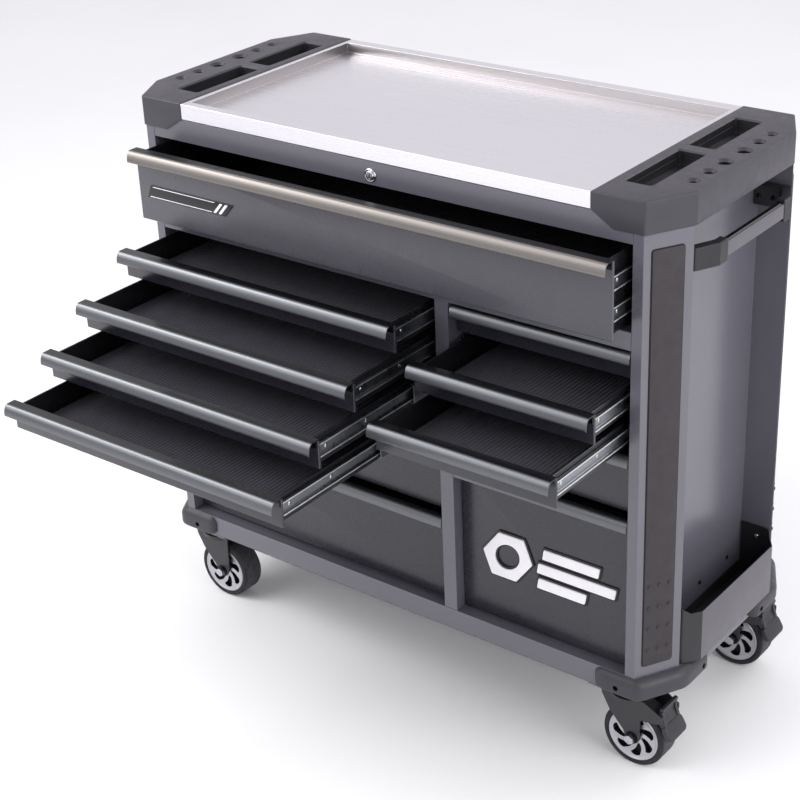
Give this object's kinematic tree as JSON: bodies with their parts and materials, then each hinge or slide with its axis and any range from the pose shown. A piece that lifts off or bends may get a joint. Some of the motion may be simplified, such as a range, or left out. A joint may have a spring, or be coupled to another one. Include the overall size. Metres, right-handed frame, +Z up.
{
  "type": "rolling tool chest",
  "caption": "Wide rolling tool chest with two columns of full-extension drawers under a full-width one, a shallow steel worktop pan, moulded end caps, a side push handle and swivel casters.",
  "frame": {"origin": "on the floor under the middle of the bounding box, with the drawers standing open as stored; the cabinet's own middle is at x -0.002, y 0.2198", "axes": "+X to the side with the push handle and side tray, -Y to the front where the drawers open, +Z up"},
  "size_m": [1.22, 0.9616, 1.116],
  "materials": {
    "cabinet_paint": "satin grey powder coat",
    "drawer_paint": "semi-gloss anthracite powder coat",
    "tray_paint": "satin dark powder coat, the outer wall mid grey",
    "fork_paint": "satin black enamel",
    "stainless_worktop": "fine brushed, nearly mirror bright",
    "handle_trim": "satin dark steel with a black top",
    "slide_zinc": "bright zinc plate",
    "lock_chrome": "polished",
    "moulded_plastic": "fine-grained matte dark grey",
    "pedal_plastic": "matte near-black",
    "rim_silver": "silver-white satin disc",
    "tyre_rubber": "matte charcoal, dusty tread"
  },
  "bodies": {
    "cabinet": {"base_pan": "cabinet_paint", "back_panel": "cabinet_paint", "left_side_panel": "cabinet_paint", "right_side_panel": "cabinet_paint", "top_header": "cabinet_paint", "inner_frame": "cabinet_paint", "worktop_pan": "stainless_worktop", "left_end_cap": "moulded_plastic", "right_end_cap": "moulded_plastic", "bumper_front_right": "moulded_plastic", "bumper_rear_right": "moulded_plastic", "bumper_front_left": "moulded_plastic", "bumper_rear_left": "moulded_plastic", "handle_bar": "cabinet_paint", "handle_bracket_front": "moulded_plastic", "handle_bracket_rear": "moulded_plastic", "side_tray": "tray_paint", "slide_bank_left_wall": "slide_zinc", "slide_bank_divider_left": "slide_zinc", "slide_bank_divider_right": "slide_zinc", "slide_bank_right_wall": "slide_zinc"},
    "lock": {"lock_cylinder": "lock_chrome"},
    "top_drawer": {"top_drawer": "drawer_paint", "top_drawer_handle": "handle_trim"},
    "left_drawer_1": {"left_drawer_1": "drawer_paint", "left_drawer_1_handle": "handle_trim"},
    "left_drawer_2": {"left_drawer_2": "drawer_paint", "left_drawer_2_handle": "handle_trim"},
    "left_drawer_3": {"left_drawer_3": "drawer_paint", "left_drawer_3_handle": "handle_trim"},
    "left_drawer_4": {"left_drawer_4": "drawer_paint", "left_drawer_4_handle": "handle_trim"},
    "left_drawer_5": {"left_drawer_5": "drawer_paint", "left_drawer_5_handle": "handle_trim"},
    "left_drawer_6": {"left_drawer_6": "drawer_paint", "left_drawer_6_handle": "handle_trim"},
    "right_drawer_1": {"right_drawer_1": "drawer_paint", "right_drawer_1_handle": "handle_trim"},
    "right_drawer_2": {"right_drawer_2": "drawer_paint", "right_drawer_2_handle": "handle_trim"},
    "right_drawer_3": {"right_drawer_3": "drawer_paint", "right_drawer_3_handle": "handle_trim"},
    "right_drawer_4": {"right_drawer_4": "drawer_paint", "right_drawer_4_handle": "handle_trim"},
    "right_drawer_5": {"right_drawer_5": "drawer_paint", "right_drawer_5_handle": "handle_trim"},
    "caster_fork_front_right": {"fork_front_right": "fork_paint"},
    "caster_wheel_front_right": {"rim_front_right": "rim_silver", "tyre_front_right": "tyre_rubber"},
    "brake_front_right": {"brake_pedal_front_right": "pedal_plastic"},
    "caster_fork_rear_right": {"fork_rear_right": "fork_paint"},
    "caster_wheel_rear_right": {"rim_rear_right": "rim_silver", "tyre_rear_right": "tyre_rubber"},
    "brake_rear_right": {"brake_pedal_rear_right": "pedal_plastic"},
    "caster_fork_front_left": {"fork_front_left": "fork_paint"},
    "caster_wheel_front_left": {"rim_front_left": "rim_silver", "tyre_front_left": "tyre_rubber"},
    "caster_fork_rear_left": {"fork_rear_left": "fork_paint"},
    "caster_wheel_rear_left": {"rim_rear_left": "rim_silver", "tyre_rear_left": "tyre_rubber"}
  },
  "joints": [
    {"name": "lock_turn", "type": "hinge", "parent": "cabinet", "child": "lock", "pos_m": [-0.002, -0.0307, 1.058], "axis": [0, 1, 0], "range_deg": [0, 90]},
    {"name": "top_drawer_slide", "type": "slide", "parent": "cabinet", "child": "top_drawer", "axis": [0, -1, 0], "range_m": [-0.0788, 0.3812]},
    {"name": "left_drawer_1_slide", "type": "slide", "parent": "cabinet", "child": "left_drawer_1", "axis": [0, -1, 0], "range_m": [-0.1344, 0.3256]},
    {"name": "left_drawer_2_slide", "type": "slide", "parent": "cabinet", "child": "left_drawer_2", "axis": [0, -1, 0], "range_m": [-0.2505, 0.2095]},
    {"name": "left_drawer_3_slide", "type": "slide", "parent": "cabinet", "child": "left_drawer_3", "axis": [0, -1, 0], "range_m": [-0.349, 0.111]},
    {"name": "left_drawer_4_slide", "type": "slide", "parent": "cabinet", "child": "left_drawer_4", "axis": [0, -1, 0], "range_m": [-0.4485, 0.0115]},
    {"name": "left_drawer_5_slide", "type": "slide", "parent": "cabinet", "child": "left_drawer_5", "axis": [0, -1, 0], "range_m": [0, 0.46]},
    {"name": "left_drawer_6_slide", "type": "slide", "parent": "cabinet", "child": "left_drawer_6", "axis": [0, -1, 0], "range_m": [0, 0.46]},
    {"name": "right_drawer_1_slide", "type": "slide", "parent": "cabinet", "child": "right_drawer_1", "axis": [0, -1, 0], "range_m": [0, 0.46]},
    {"name": "right_drawer_2_slide", "type": "slide", "parent": "cabinet", "child": "right_drawer_2", "axis": [0, -1, 0], "range_m": [-0.1293, 0.3307]},
    {"name": "right_drawer_3_slide", "type": "slide", "parent": "cabinet", "child": "right_drawer_3", "axis": [0, -1, 0], "range_m": [-0.2404, 0.2196]},
    {"name": "right_drawer_4_slide", "type": "slide", "parent": "cabinet", "child": "right_drawer_4", "axis": [0, -1, 0], "range_m": [0, 0.46]},
    {"name": "right_drawer_5_slide", "type": "slide", "parent": "cabinet", "child": "right_drawer_5", "axis": [0, -1, 0], "range_m": [0, 0.46]},
    {"name": "caster_swivel_front_right", "type": "hinge", "parent": "cabinet", "child": "caster_fork_front_right", "pos_m": [0.5055, 0.0288, 0.15], "axis": [0, 0, 1], "continuous": true},
    {"name": "caster_spin_front_right", "type": "hinge", "parent": "caster_fork_front_right", "child": "caster_wheel_front_right", "pos_m": [0.5225, 0.0288, 0.0635], "axis": [0, 1, 0], "continuous": true},
    {"name": "brake_press_front_right", "type": "hinge", "parent": "caster_fork_front_right", "child": "brake_front_right", "pos_m": [0.5795, 0.0288, 0.118], "axis": [0, 1, 0], "range_deg": [0, 12]},
    {"name": "caster_swivel_rear_right", "type": "hinge", "parent": "cabinet", "child": "caster_fork_rear_right", "pos_m": [0.5055, 0.4108, 0.15], "axis": [0, 0, 1], "continuous": true},
    {"name": "caster_spin_rear_right", "type": "hinge", "parent": "caster_fork_rear_right", "child": "caster_wheel_rear_right", "pos_m": [0.5225, 0.4108, 0.0635], "axis": [0, 1, 0], "continuous": true},
    {"name": "brake_press_rear_right", "type": "hinge", "parent": "caster_fork_rear_right", "child": "brake_rear_right", "pos_m": [0.5795, 0.4108, 0.118], "axis": [0, 1, 0], "range_deg": [0, 12]},
    {"name": "caster_swivel_front_left", "type": "hinge", "parent": "cabinet", "child": "caster_fork_front_left", "pos_m": [-0.5095, 0.0288, 0.15], "axis": [0, 0, 1], "continuous": true},
    {"name": "caster_spin_front_left", "type": "hinge", "parent": "caster_fork_front_left", "child": "caster_wheel_front_left", "pos_m": [-0.4925, 0.0288, 0.0635], "axis": [0, 1, 0], "continuous": true},
    {"name": "caster_swivel_rear_left", "type": "hinge", "parent": "cabinet", "child": "caster_fork_rear_left", "pos_m": [-0.5095, 0.4108, 0.15], "axis": [0, 0, 1], "continuous": true},
    {"name": "caster_spin_rear_left", "type": "hinge", "parent": "caster_fork_rear_left", "child": "caster_wheel_rear_left", "pos_m": [-0.4925, 0.4108, 0.0635], "axis": [0, 1, 0], "continuous": true}
  ]
}
